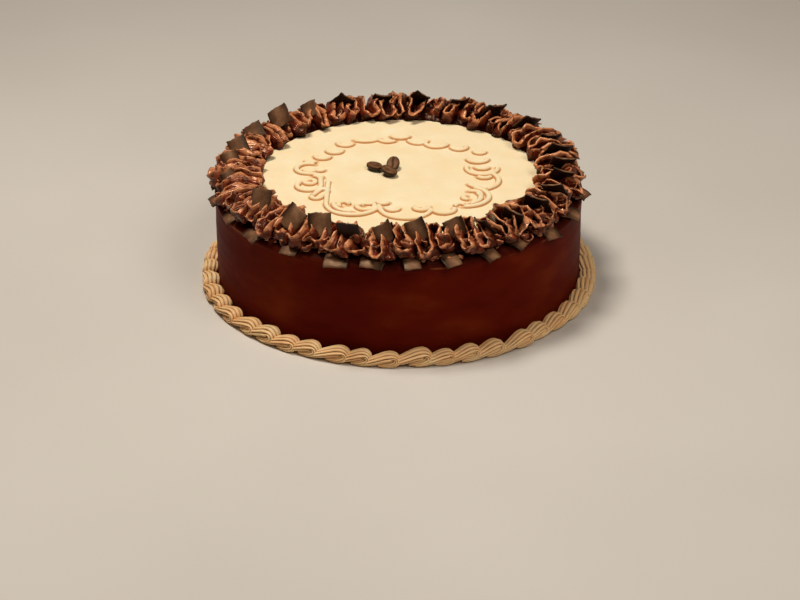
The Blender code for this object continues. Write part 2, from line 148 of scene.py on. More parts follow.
def spread(tree, source, low, high):
    """Spreads a grey value from low to high."""
    node = tree.nodes.new("ShaderNodeMapRange")
    node.inputs["To Min"].default_value = low
    node.inputs["To Max"].default_value = high
    tree.links.new(source, node.inputs["Value"])
    return node.outputs["Result"]


def blended(tree, value, low, high, first, second):
    """Goes from one colour to the other as a value goes from low to high."""
    share = tree.nodes.new("ShaderNodeMapRange")
    share.inputs["From Min"].default_value = low
    share.inputs["From Max"].default_value = high
    blend = tree.nodes.new("ShaderNodeMix")
    blend.data_type = "RGBA"
    tree.links.new(value, share.inputs["Value"])
    tree.links.new(share.outputs["Result"], blend.inputs["Factor"])
    for side, colour in (("A", first), ("B", second)):
        if isinstance(colour, tuple):
            blend.inputs[side].default_value = (*colour, 1.0)
        else:
            tree.links.new(colour, blend.inputs[side])
    return blend.outputs["Result"]


def height_of(tree):
    """The height of each point of the object, in metres."""
    place = tree.nodes.new("ShaderNodeTexCoord")
    parts = tree.nodes.new("ShaderNodeSeparateXYZ")
    tree.links.new(place.outputs["Object"], parts.inputs["Vector"])
    return parts.outputs["Z"]


def marks_map(tree):
    """The UV map in which every shape keeps its marks."""
    marks = tree.nodes.new("ShaderNodeUVMap")
    marks.uv_map = "marks"
    return marks.outputs["UV"]


def mark_of(tree):
    """The mark of each point: 0 in a hollow, 1 on a crest."""
    parts = tree.nodes.new("ShaderNodeSeparateXYZ")
    tree.links.new(marks_map(tree), parts.inputs["Vector"])
    return parts.outputs["Y"]


print("helpers for finishes are ready")

# %% [markdown]
# ## The floor and the light
# Warm light falls on the cake from above and a little from the left, so the curls show lit
# tops and dark undersides. One soft lamp there does most of the work. A wider one over the
# front right keeps the dark coat readable, and a faint warm light from all round fills the
# rest. Area lamps were chosen for their soft shadows.

# %% Set the floor and the lamps
FLOOR_SIZE = 8.0
FLOOR_LEVEL = -0.0002
ROUND_COLOUR = (1.0, 0.84, 0.64, 1.0)
ROUND_STRENGTH = 0.07

# Each lamp: name, power, size, place, the point it shines on, and colour.
LAMPS = [
    ("key_lamp", 12.3, 0.34, (-0.28, 0.04, 1.26), (0.0, 0.0, 0.06), (1.0, 0.90, 0.78)),
    ("front_lamp", 8.2, 0.7, (0.58, -0.74, 1.28), (0.0, 0.0, 0.04), (1.0, 0.91, 0.80)),
]


def floor_finish():
    """Pale and faintly mottled."""
    material, tree, shader = finish("pale_table")
    mottle = soft_noise(tree, 3.0, 3.0)
    colour = ramp(tree, mottle, (0.3, (0.60, 0.58, 0.55)), (0.7, (0.66, 0.64, 0.61)))
    feed(tree, shader, {"Base Color": colour, "Roughness": 0.6})
    return material


def lamp(name, power, size, place, aim, colour):
    """A soft square lamp that shines on a point."""
    light = bpy.data.lights.new(name, "AREA")
    light.energy = power
    light.size = size
    light.color = colour
    item = new_object(name, light)
    item.location = place
    item.rotation_euler = (Vector(aim) - Vector(place)).to_track_quat("-Z", "Y").to_euler()


bpy.ops.mesh.primitive_plane_add(size=FLOOR_SIZE, location=(0.0, 0.0, FLOOR_LEVEL))
floor = bpy.context.object
floor.name = "floor"
floor.data.materials.append(floor_finish())
for settings in LAMPS:
    lamp(*settings)
world = bpy.data.worlds.new("all_round")
bpy.context.scene.world = world
world.use_nodes = True
background = world.node_tree.nodes["Background"]
background.inputs["Color"].default_value = ROUND_COLOUR
background.inputs["Strength"].default_value = ROUND_STRENGTH

# %% [markdown]
# ## Skins over rings of points
# Nearly everything here is a soft form that someone spread or piped, so it has no flat faces
# to model from. It is easiest to work out closed rings of points, one after another, and lay
# quads between them. The same helper then covers the coat, the ribbon of ruffles, the piped
# lines and the beans. Each shape is kept in millimetres until it becomes an object. Every
# point also carries a mark, 0 in a hollow and 1 on a crest, which is stored as a UV map, so
# that a finish can be darker in the hollows than the light alone would make it.

# %% Helpers for skins
def skin(rings, loop=False, marks=1.0):
    """Points, faces and marks over closed rings. A loop joins the last ring to the first."""
    count, sides = rings.shape[:2]
    steps = np.arange(count if loop else count - 1)
    here = steps[:, None] * sides
    there = ((steps + 1) % count)[:, None] * sides
    around = np.arange(sides)[None, :]
    beside = (around + 1) % sides
    quads = np.stack([here + around, here + beside, there + beside, there + around], -1)
    faces = quads.reshape(-1, 4).tolist()
    if not loop:
        faces.append(list(range(sides))[::-1])
        faces.append(list(range((count - 1) * sides, count * sides)))
    return rings.reshape(-1, 3), faces, np.broadcast_to(marks, (count, sides)).reshape(-1)


def joined(shapes):
    """Several shapes as one set of points, faces and marks."""
    points = []
    faces = []
    marks = []
    start = 0
    for corners, sides, heights in shapes:
        points.append(corners)
        marks.append(heights)
        faces.extend([[index + start for index in face] for face in sides])
        start += len(corners)
    return np.concatenate(points), faces, np.concatenate(marks)


def mesh_of(name, points, faces, marks):
    """A mesh from points in millimetres, with their marks kept as its UV map."""
    mesh = bpy.data.meshes.new(name)
    mesh.from_pydata((points * MM).tolist(), [], faces)
    corners = np.empty(len(mesh.loops), int)
    mesh.loops.foreach_get("vertex_index", corners)
    places = np.stack([np.full(len(corners), 0.5), marks[corners]], -1)
    mesh.uv_layers.new(name="marks").data.foreach_set("uv", places.ravel())
    return mesh


def piece(name, shape, material, slot, *nodes):
    """A smooth object from a shape, riding on the cake for those nodes."""
    mesh = mesh_of(name, *shape)
    mesh.polygons.foreach_set("use_smooth", [True] * len(mesh.polygons))
    mesh.materials.append(material)
    item = new_object(name, mesh)
    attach(item, "root")
    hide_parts(*nodes)
    print(name, len(mesh.polygons), "faces")


def wobble(place, count, seed):
    """A smooth random value from -1 to 1, one for each whole step, that repeats after count."""
    values = np.random.default_rng(seed).uniform(-1.0, 1.0, count)
    first = np.floor(place).astype(int)
    share = place - first
    share = share * share * (3.0 - 2.0 * share)
    return values[first % count] * (1.0 - share) + values[(first + 1) % count] * share


def full_turn(count):
    """So many angles, evenly round."""
    return np.linspace(0.0, TURN, count, endpoint=False)


def rise(value, start, length):
    """From 0 to 1, as a value goes on from start by this length."""
    return np.clip((value - start) / length, 0.0, 1.0)


def hump(value, middle, reach):
    """1 at the middle, falling off softly to both sides."""
    return np.exp(-(((value - middle) / reach) ** 2))


def on_circle(radius, angle, height):
    """Points at these radii and angles round the cake."""
    return np.stack(
        np.broadcast_arrays(radius * np.cos(angle), radius * np.sin(angle), height), -1
    )


def lump(place, size):
    """Soft noise from about -1 to 1 at this place, in lumps of this size."""
    return noise.fractal(Vector(place) / size, 1.0, 2.0, 3)


def rounded(outline, times=2):
    """Cuts the corners of an open outline until it is soft."""
    points = np.array(outline, float)
    for _ in range(times):
        first = points[:-1] * 0.75 + points[1:] * 0.25
        second = points[:-1] * 0.25 + points[1:] * 0.75
        middle = np.stack([first, second], 1).reshape(-1, 2)
        points = np.concatenate([points[:1], middle, points[-1:]])
    return points


print("wobble at 0, 0.5 and 1:", wobble(np.array([0.0, 0.5, 1.0]), 4, 0).round(2))

# %% [markdown]
# ## The chocolate coat
# The layers are hidden under poured chocolate that was smoothed with a long blade. It is very
# dark and reddish, with a satin shine, faint level bands from the blade and a thin raised
# edge at the shoulder, where it is scraped thin and shows orange-brown in short streaks. A
# turned outline gives the form, small random swings of the radius keep the shine from looking
# machined, and low marks along the edge tell the finish where the streaks are.

# %% Coat the cake
COAT_SEGMENTS = 288
COAT_SWING = 0.20
COAT_EDGE = 63.2
EDGE_SWING = 0.28
BLADE_BAND = 0.10
STREAK_LEVEL = 62.4
COAT_OUTLINE = [
    (0.6, 68.5), (60.0, 68.5), (100.0, 68.5), (108.0, 68.5), (116.0, 67.3), (120.2, 65.4),
    (121.6, 63.2), (121.3, 61.9), (121.0, 60.5), (121.0, 58.0), (121.0, 52.0), (121.0, 42.0),
    (121.0, 32.0), (121.0, 22.0), (121.0, 12.0), (121.0, 1.6), (119.5, 0.0), (60.0, 0.0), (0.6, 0.0),
]


def coat_finish():
    """Very dark and reddish, darker on the shoulder as painted shade, with orange-brown streaks."""
    material, tree, shader = finish("chocolate_coat")
    clouds = soft_noise(tree, 18.0, 10.0, (1.0, 1.0, 2.2))
    bands = soft_noise(tree, 1.6, 4.0, (6.0, 6.0, 160.0))
    grain = soft_noise(tree, 900.0, 3.0)
    colour = ramp(
        tree, clouds,
        (0.30, (0.078, 0.0040, 0.0016)), (0.55, (0.115, 0.0085, 0.0022)), (0.75, (0.170, 0.0220, 0.0040)),
    )
    # Painted shade: above the shoulder, under the ruffled ring, the coat turns darker.
    colour = blended(tree, height_of(tree), 61.0 * MM, 66.0 * MM, colour, (0.034, 0.0045, 0.0022))
    colour = blended(tree, mark_of(tree), 0.0, 1.0, (0.36, 0.105, 0.036), colour)
    satin = spread(tree, bands, 0.34, 0.56)
    feed(tree, shader, {"Base Color": colour, "Roughness": satin, "Specular IOR Level": 0.012})
    relief(tree, shader, (bands, 0.35, 0.5), (grain, 0.15, 0.12))
    return material


def round_cake(angle, swings, seed, shift=0.0):
    """Wobbles so many times on the way round the cake."""
    return wobble(angle / TURN * swings + shift, swings, seed)


def coat_shape():
    """The turned outline, with swings of the radius on its side and edge."""
    outline = rounded(COAT_OUTLINE)
    angle = full_turn(COAT_SEGMENTS)[None, :]
    radius = outline[:, :1]
    height = outline[:, 1:]
    on_side = rise(radius, 112.0, 8.0)
    swing = COAT_SWING * round_cake(angle, 26, 1, height * 0.05)
    bands = BLADE_BAND * wobble(height / 2.6 + 0.4 * np.sin(angle * 3.0), 40, 2)
    edge = EDGE_SWING * hump(height, COAT_EDGE, 1.6) * round_cake(angle, 60, 3)
    rings = on_circle(radius + on_side * (swing + bands + edge), angle, height)
    level = STREAK_LEVEL + 0.9 * round_cake(angle, 22, 4)
    streaks = rise(2.0 * round_cake(angle, 46, 5), 0.6, 1.0)
    marks = 1.0 - streaks * hump(height, level, 0.5)
    return skin(rings, marks=marks)


piece("coat", coat_shape(), coat_finish(), "chocolate_coat", "cake_body")

# %% [markdown]
# ## The pale top and its piped scrolls
# A disc of pale, matt icing lies on the coat. On it somebody piped a ring of scrolls with a
# small round nozzle: arcs, hooks and curls that touch end to end. Each line is described by
# the pegs that it winds round, with a radius that may shrink, so a curl needs six numbers and
# not a list of points. The lines are round bars sunk halfway into the disc, and they swell and
# thin a little as a hand does. The shade where a line meets the disc is painted in golden, so
# the marks are low at the lines' feet and on the disc close to them.

# %% Draw the scrolls
# Each peg: x, y, the line's radius at its first and last angle, and those two angles.
SCROLLS = [
    # The large scroll at the front left, with its inner line and two curls.
    [(-30.5, -12.0, 15.5, 15.5, 172, 180), (-29.0, -43.5, 17.5, 17.0, 180, 350)],
    [(-28.8, -43.5, 13.0, 12.6, 178, 268)],
    [(-34.8, -44.5, 3.9, 2.6, 235, -10)],
    [(-20.8, -47.4, 6.0, 5.4, 165, 395), (-21.6, -46.4, 2.0, 1.0, 60, 200)],
    [(-9.5, -40.5, 4.4, 3.6, 200, 330)],
    # The round scroll at the front.
    [(4.9, -49.6, 16.8, 16.4, 176, 352)],
    [(-3.4, -50.2, 4.6, 3.8, 175, 350)],
    [(13.8, -49.3, 6.0, 3.2, 10, -190), (12.8, -49.2, 2.0, 1.4, 180, 300)],
    # The small lobe and the large scroll at the front right.
    [(29.0, -52.0, 6.8, 6.8, 190, 372)],
    [(44.0, -31.5, 17.0, 12.6, 262, 428)],
    [(43.0, -33.0, 11.5, 9.6, 285, 395)],
    [(40.0, -46.5, 3.4, 2.4, 190, 20)],
    [(48.4, -32.5, 8.2, 5.0, 112, 5)],
    [(44.6, -35.0, 3.0, 2.4, 100, 290)],
    # The stack of cups up the right side.
    [(51.0, -7.0, 16.0, 14.0, -66, 40)],
    [(57.0, -8.0, 12.8, 12.4, 208, 258)],
    [(56.8, -0.2, 4.8, 4.4, 200, 340)],
    [(55.4, 11.0, 10.2, 10.4, 165, 368)],
    [(55.6, 14.2, 5.0, 4.6, 195, 340)],
    [(53.4, 27.0, 7.4, 6.4, 190, 352)],
    [(54.8, 38.4, 3.8, 3.4, 180, 360)],
    # The shallow cups round the back.
    [(41.2, 46.0, 5.4, 4.8, 178, 372)],
    [(26.2, 53.0, 8.2, 7.2, 186, 340)],
    [(13.8, 57.6, 6.8, 6.0, 180, 350)],
    [(1.8, 67.0, 7.4, 6.4, 205, 330)],
    [(-7.6, 60.4, 6.0, 6.6, 196, 326)],
    [(-22.2, 67.5, 13.0, 12.0, 232, 322)],
    [(-36.0, 52.6, 5.2, 5.0, 176, 352)],
    [(-42.9, 40.4, 5.2, 5.0, 186, 365)],
    [(-50.8, 31.0, 5.2, 5.0, 182, 350)],
    # On the left: a hook over a spiral, each with a curl in it, and a narrow loop.
    [(-57.5, -6.0, 8.0, 8.0, 15, 90), (-59.8, 9.8, 7.3, 8.6, 262, 62)],
    [(-58.6, 8.8, 3.8, 3.6, 180, 345), (-51.8, 9.4, 3.0, 2.8, 195, 340)],
    [(-58.4, 23.0, 3.6, 3.2, 180, 340)],
    [(-58.6, -16.4, 7.4, 8.0, 140, 370), (-58.4, -7.4, 7.4, 7.2, 10, 75)],
    [(-58.0, -10.6, 3.8, 3.2, 170, 440)],
    [(-53.2, -33.6, 3.0, 3.0, 150, 330), (-48.8, -25.0, 2.8, 2.8, 330, 505),
     (-53.2, -33.6, 3.0, 3.0, 145, 150)],
]
print(len(SCROLLS), "piped lines round", sum(map(len, SCROLLS)), "pegs")

# %% Pipe the pale top
ICING_TOP = 71.2
ICING_RADIUS = 104.0
ICING_FOOT = 68.8
DISC_SIDES = 480
DISC_SWELL = 0.16
SCROLL_WIDTH = 3.9
SCROLL_STEP = 0.9
SCROLL_SIDES = 14
SCROLL_END = 1.4
SCROLLS_INNER = 30.0
SCROLLS_OUTER = 88.0
PAINTED_SHADE_REACH = 1.7


def icing_finish():
    """Pale, matt and dimpled, with painted golden shade in the corners by the piped lines."""
    material, tree, shader = finish("pale_icing")
    clouds = soft_noise(tree, 60.0, 5.0)
    grain = soft_noise(tree, 1300.0, 3.0)
    dimples = soft_noise(tree, 240.0, 4.0)
    colour = ramp(
        tree, clouds,
        (0.25, (0.86, 0.71, 0.44)), (0.60, (0.89, 0.77, 0.52)), (0.80, (0.91, 0.82, 0.60)),
    )
    # Painted shade: low marks, at the lines' feet and beside them, turn the icing golden tan.
    colour = blended(tree, mark_of(tree), 0.0, 0.62, (0.64, 0.27, 0.070), colour)
    feed(tree, shader, {
        "Base Color": colour,
        "Roughness": 0.7,
        "Subsurface Weight": 0.25,
        "Subsurface Radius": (1.0, 0.6, 0.35),
        "Subsurface Scale": 1.2 * MM,
        "Specular IOR Level": 0.3,
    })
    relief(tree, shader, (dimples, 0.25, 0.35), (grain, 0.3, 0.12))
    return material


def bar(path, radii, toward, section, marks):
    """A bar along a path. Each section is a ring of (across, toward) points."""
    forward = np.gradient(path, axis=0)
    forward /= np.linalg.norm(forward, axis=1, keepdims=True)
    across = np.cross(toward, forward)
    across /= np.linalg.norm(across, axis=1, keepdims=True)
    up = np.cross(forward, across)
    rings = section[:, :, :1] * across[:, None, :] + section[:, :, 1:] * up[:, None, :]
    return skin(path[:, None, :] + np.reshape(radii, (-1, 1, 1)) * rings, marks=marks)


def peg_path(pegs):
    """Points along one piped line that winds round its pegs."""
    points = []
    for x, y, first_radius, last_radius, first_angle, last_angle in pegs:
        sweep = math.radians(last_angle - first_angle)
        length = abs(sweep) * (first_radius + last_radius) / 2.0
        steps = max(4, round(length / SCROLL_STEP))
        for step in range(steps + 1):
            share = step / steps
            angle = math.radians(first_angle) + sweep * share
            radius = first_radius + (last_radius - first_radius) * share
            points.append((x + radius * math.cos(angle), y + radius * math.sin(angle), ICING_TOP))
    return np.array(points)


def scroll_shape(pegs, seed):
    """One piped line: round, with soft ends, swelling and thinning a little."""
    path = peg_path(pegs)
    steps = np.arange(len(path))
    from_end = np.minimum(steps, steps[::-1]) * SCROLL_STEP
    ends = np.sqrt(1.0 - (1.0 - np.clip(from_end / SCROLL_END, 0.05, 1.0)) ** 2)
    radii = SCROLL_WIDTH / 2.0 * ends * (1.0 + 0.10 * wobble(steps * 0.16, 50, seed))
    path[:, 2] += 0.12 * wobble(steps * 0.12, 50, seed + 100)
    turn = full_turn(SCROLL_SIDES)
    section = np.stack([np.cos(turn), np.sin(turn)], -1)[None].repeat(len(path), 0)
    # Painted shade: the marks fall from 1 on top to 0 at the foot, and the sunk half is 0.
    marks = np.where(turn < math.pi, np.sin(turn) ** 2, 0.0)
    return bar(path, radii, np.array([0.0, 0.0, 1.0]), section, marks)


def disc_shape(lines):
    """The disc: almost level, with a soft rim, and marked low close to the piped lines for painted shade.
    """
    outline = rounded(
        [(0.6, ICING_TOP)]
        + [(radius, ICING_TOP) for radius in range(2, 103, 2)]
        + [(103.4, ICING_TOP - 0.1), (ICING_RADIUS, ICING_TOP - 0.8), (ICING_RADIUS, ICING_FOOT)],
        1,
    )
    angle = full_turn(DISC_SIDES)[None, :]
    rings = on_circle(outline[:, :1], angle, outline[:, 1:])
    marks = np.ones(rings.shape[:2])
    for ring, row in zip(rings, marks):
        for point in ring:
            point[2] += DISC_SWELL * lump((point[0], point[1], 0.0), 9.0)
        if SCROLLS_INNER < math.hypot(ring[0, 0], ring[0, 1]) < SCROLLS_OUTER:
            apart = np.hypot(ring[:, :1] - lines[:, 0], ring[:, 1:2] - lines[:, 1]).min(1)
            # Painted shade: the disc is marked low close to the lines, so it turns golden there.
            row[:] = 0.16 + 0.84 * rise(apart, SCROLL_WIDTH / 2.0, PAINTED_SHADE_REACH)
    return skin(rings, marks=marks)


top_shapes = [disc_shape(np.concatenate([peg_path(pegs) for pegs in SCROLLS]))]
top_shapes += [scroll_shape(pegs, seed) for seed, pegs in enumerate(SCROLLS)]
piece("pale_top", joined(top_shapes), icing_finish(), "pale_icing", "icing_top")

# %% [markdown]
# ## The ruffled ring
# The ring is one ribbon of chocolate icing. The nozzle swung in and out as the cake turned,
# so each swing leaves a petal: high in its middle, low where it turns, leaning over the next
# one, thick at its foot and thin at its lip. A formula for the middle of the ribbon gives both
# the swing and the arch, and the wall is that surface pushed out to both sides. The nozzle's
# teeth drew ridges along it: the coarse ones are added to the thickness, and the finest ones
# are relief in the finish. Soft noise crumples the whole, and the finish paints shade into its
# creases. The marks rise from the foot to the lip, so the hollows get painted shade and less
# shine, and the lips a painted highlight and full shine.

# %% Finish the chocolate icing
RIDGES = 8
WAVES_A_UNIT = 3.2


def drag_lines(tree, count):
    """So many fine lines from mark 0 to mark 1, a little uneven, as a nozzle's teeth leave."""
    lines = tree.nodes.new("ShaderNodeTexWave")
    lines.bands_direction = "Y"
    lines.inputs["Scale"].default_value = count / WAVES_A_UNIT
    lines.inputs["Distortion"].default_value = 0.6
    tree.links.new(marks_map(tree), lines.inputs["Vector"])
    return lines.outputs[0]


def chocolate_icing_finish():
    """Brown and shiny, with painted highlights on the lips and painted shade, nearly black, in creases
    and hollows.
    """
    material, tree, shader = finish("chocolate_icing")
    clouds = soft_noise(tree, 90.0, 5.0)
    folds = soft_noise(tree, 260.0, 3.0)
    grain = soft_noise(tree, 700.0, 4.0)
    colour = ramp(
        tree, clouds,
        (0.28, (0.125, 0.013, 0.0050)), (0.52, (0.225, 0.032, 0.0110)), (0.76, (0.390, 0.095, 0.0370)),
    )
    # Painted highlight: where the marks are highest, on the lips, the colour turns light warm brown.
    colour = blended(tree, mark_of(tree), 0.80, 1.06, colour, (0.76, 0.33, 0.145))
    # Painted shade: the creases of the fold noise turn dark.
    colour = blended(tree, folds, 0.37, 0.50, (0.066, 0.0075, 0.0028), colour)
    # Painted shade: low marks, at the foot and in the hollows, turn nearly black.
    colour = blended(tree, mark_of(tree), 0.15, 0.90, (0.018, 0.0018, 0.0008), colour)
    feed(tree, shader, {
        "Base Color": colour,
        "Roughness": spread(tree, grain, 0.20, 0.36),
        # The shine is weaker where the marks are low, so the shaded hollows reflect less.
        "Specular IOR Level": spread(tree, mark_of(tree), 0.10, 1.0),
        "Specular Tint": (1.0, 0.60, 0.40, 1.0),
        "Subsurface Weight": 0.08,
        "Subsurface Radius": (1.0, 0.4, 0.2),
        "Subsurface Scale": 0.8 * MM,
    })
    relief(
        tree,
        shader,
        (clouds, 0.5, 1.2),
        (folds, 0.6, 0.8),
        (drag_lines(tree, RIDGES), 0.35, 0.4),
        (grain, 0.2, 0.15),
    )
    return material


ruffle_material = chocolate_icing_finish()
print("chocolate icing:", len(ruffle_material.node_tree.nodes), "nodes")

# %% Pipe the ruffled ring
RUFFLES = 54
RUFFLE_STEPS = 44
RUFFLE_RISE = 16
RUFFLE_MID_RADIUS = 106.5
RUFFLE_REACH = 13.4
RUFFLE_FLARE = 2.4
RUFFLE_SLANT = -1.2
OUTER_BULGE = 2.6
INNER_BULGE = 1.4
RUFFLE_TOP = 83.2
OUTER_DROOP = 2.6
RUFFLE_FOOT = 71.5
OUTER_FOOT = 69.9
RUFFLE_WALL = 2.4
RUFFLE_LIP = 1.3
RUFFLE_SQUARENESS = 1.5
FOOT_MARGIN = 3.0
RING_SEED = 11
NEAR_ALONG = 0.004
NEAR_UP = 0.02
ROLL_START = 0.72
TEETH = 7.0
TOOTH_DEPTH = 0.24
# Past OUTER_FACES the marks rise to at least OUTER_MARK, so the outer faces get less painted shade.
OUTER_FACES = 112.0
OUTER_MARK = 0.48

# Waves of the lip: width of the swing, how late it grows, swings a ruffle, and seed.
LIP_WAVES = [(1.7, 1.5, 4, 24), (1.5, 1.4, 10, 25), (0.7, 1.0, 19, 27)]

# Crumpling: size of the lumps and how far they push.
CRUMPLES = [(9.0, 2.6), (4.5, 1.7), (2.6, 0.6)]


def ruffle_turns():
    """What differs from turn to turn: reach, height, lean, shift, bulge and pinch."""
    draw = random.Random(RING_SEED)
    turns = []
    for index in range(2 * RUFFLES):
        large = index % 4 < 2
        if index % 2 == 0:
            reach = (1.0 if large else -3.0) + draw.uniform(-1.7, 1.5)
            height = draw.uniform(-3.0, 1.8)
            lean = draw.uniform(2.2, 7.4)
            bulge = OUTER_BULGE + draw.uniform(-0.8, 0.9)
            pinch = draw.uniform(0.74, 0.97)
        else:
            reach = (0.8 if large else -2.4) + draw.uniform(-1.3, 1.3)
            height = (0.6 if large else -1.4) + draw.uniform(-1.5, 1.3)
            lean = draw.uniform(2.2, 6.2)
            bulge = INNER_BULGE + draw.uniform(-0.6, 0.7)
            pinch = draw.uniform(0.66, 0.93)
        turns.append((reach, height, lean, draw.uniform(-2.1, 2.1), bulge, pinch))
    return np.array(turns)


def foot_height(radius):
    """How low the ribbon reaches: on the icing inside, a little lower outside it."""
    share = rise(radius - RUFFLE_MID_RADIUS, FOOT_MARGIN, RUFFLE_REACH - FOOT_MARGIN)
    return RUFFLE_FOOT + (OUTER_FOOT - RUFFLE_FOOT) * share


def ribbon_middle(turns, along, up):
    """Points on the middle of the ribbon: along in ruffles, up from its foot 0 to its lip 1."""
    place = (2.0 * along) % len(turns)
    first = np.floor(place).astype(int) % len(turns)
    share = (place - np.floor(place))[..., None]
    share = share * share * (3.0 - 2.0 * share)
    values = turns[first] * (1.0 - share) + turns[(first + 1) % len(turns)] * share
    reach, height, lean, shift, bulge, pinch = np.moveaxis(values, -1, 0)
    wave = np.tanh(RUFFLE_SQUARENESS * np.cos(TURN * along)) / math.tanh(RUFFLE_SQUARENESS)
    radius = RUFFLE_MID_RADIUS + (RUFFLE_REACH + RUFFLE_FLARE * up**2 + reach) * wave
    over = lean * (0.5 * up + 0.5 * up**2)
    sideways = shift + bulge * np.sin(2.0 * TURN * along) + RUFFLE_SLANT * wave - over
    foot = foot_height(radius)
    arch = np.sqrt(1.0 - (pinch * wave) ** 2)
    top = foot + (RUFFLE_TOP + height - OUTER_DROOP * np.clip(wave, 0.0, 1.0) - foot) * arch
    angle = TURN * along / RUFFLES + sideways / radius
    return on_circle(radius, angle, foot + (top - foot) * up)


def warp(points, size, amount):
    """Pushes points about by soft noise, in lumps of this size."""
    for point in points.reshape(-1, 3):
        point += np.array(noise.noise_vector(Vector(point) / size)) * amount


def along_ring(along, times, seed):
    """Wobbles so many times a ruffle along the ribbon."""
    return wobble(along * times, RUFFLES * times, seed)


def ribbon_shape():
    """The ribbon's wall with ridges, and a lip that waves, frills and rolls over."""
    turns = ruffle_turns()
    count = RUFFLES * RUFFLE_STEPS
    along = (np.arange(count) / RUFFLE_STEPS)[:, None]
    up = np.linspace(0.0, 1.0, RUFFLE_RISE)[None, :]
    tall = up * (1.0 + 0.07 * along_ring(along, 3, 21) + 0.05 * along_ring(along, 8, 22))
    middle = ribbon_middle(turns, along, tall)
    before = ribbon_middle(turns, along - NEAR_ALONG, tall)
    after = ribbon_middle(turns, along + NEAR_ALONG, tall)
    under = ribbon_middle(turns, along, tall - NEAR_UP)
    over = ribbon_middle(turns, along, tall + NEAR_UP)
    out = np.cross(after - before, over - under)
    out /= np.linalg.norm(out, axis=2, keepdims=True)
    swing = sum(
        width * up**lateness * along_ring(along, swings, seed)
        for width, lateness, swings, seed in LIP_WAVES
    )
    roll = 1.6 * rise(up, ROLL_START, 1.0) ** 2 / 0.08 * along_ring(along, 2, 26)
    middle = middle + out * (swing + roll)[..., None]
    teeth = TOOTH_DEPTH * np.sin(TURN * (up * TEETH + 0.6 * along_ring(along, 2, 23)))
    half = (RUFFLE_WALL * (1.0 - up) + RUFFLE_LIP * up) / 2.0
    lean_side = middle + out * (half + teeth * np.sin(np.pi * up) ** 0.5)[..., None]
    other_side = middle - out * (half + 0.6 * teeth * np.sin(np.pi * up) ** 0.5)[..., None]
    tip = middle[:, -1:] + (middle[:, -1:] - middle[:, -2:-1]) * 0.6
    rings = np.concatenate([lean_side, tip, other_side[:, ::-1]], 1)
    for size, push in CRUMPLES:
        warp(rings, size, push)
    radius = np.hypot(rings[..., 0], rings[..., 1])
    rings[..., 2] = np.maximum(rings[..., 2], foot_height(radius))
    # The marks carry painted light: low at the foot for shade, 1 at the lip for the highlight.
    marks = np.concatenate([up, [[1.0]], up[:, ::-1]], 1)
    return skin(rings, True, np.maximum(marks, OUTER_MARK * rise(radius, OUTER_FACES, 6.0)))


piece("ruffles", ribbon_shape(), ruffle_material, "chocolate_icing", "ruffle_ring")

# %% [markdown]
# ## The bed under the ruffles, and the scraps
# Between the petals one looks down on icing that was pressed out at their feet. It is a
# rough mound, so nobody sees through the ring. Only its hollows and lumps show, so a ring
# whose height comes from noise is enough. Here and there the nozzle also left scraps:
# short strips that curled over the outer turns, and crumbs beside them. Each scrap is a
# little bent plate at a random place, and all of them are joined into one mesh.

# %% Lay the bed
BED_SEGMENTS = 720
BED_SIDES = 26
BED_RADIUS = 104.0
BED_HALF_WIDTH = 11.0
BED_LEVEL = 70.2
BED_LUMP = 4.6


def bed_shape():
    """A low ring under the petals with a lumpy top, marked low so that it is painted in shade."""
    angle = full_turn(BED_SEGMENTS)[:, None]
    turn = full_turn(BED_SIDES)[None, :]
    radius = BED_RADIUS + BED_HALF_WIDTH * np.cos(turn) * (1.0 + 0.06 * round_cake(angle, 150, 31))
    height = BED_LEVEL + 1.9 * np.sin(turn) - 1.2 * rise(radius, 110.0, 6.0)
    lumps = 1.0 + 0.3 * round_cake(angle, 90, 32)
    height = height + BED_LUMP * np.clip(np.sin(turn), 0.0, 1.0) ** 2 * lumps
    rings = on_circle(radius, angle, height)
    for point in rings.reshape(-1, 3):
        point[2] += 0.8 * lump(point, 4.0)
    # Painted shade: the low mark makes the bed nearly black, as the shade between the petals.
    return skin(rings, True, 0.12)


piece("ruffle_bed", bed_shape(), ruffle_material, "chocolate_icing")

# %% Lay the scraps
SCRAPS = 96
FOOT_SCRAPS = 150
FOOT_SCRAP_SIZE = 0.68
FOOT_SCRAPS_INNER = 112.5
SCRAP_THICKNESS = 0.65
CRUMBS = 150
CRUMBS_INNER = 114.0
SCRAP_SEED = 41


def turned(degrees, axis):
    """A rotation by this many degrees."""
    return Matrix.Rotation(math.radians(degrees), 3, axis)


def random_turn(draw, amount):
    """A rotation about a random axis, by up to this many degrees."""
    axis = Vector([draw.uniform(-1.0, 1.0) for _ in range(3)]).normalized()
    return turned(draw.uniform(-amount, amount), axis)


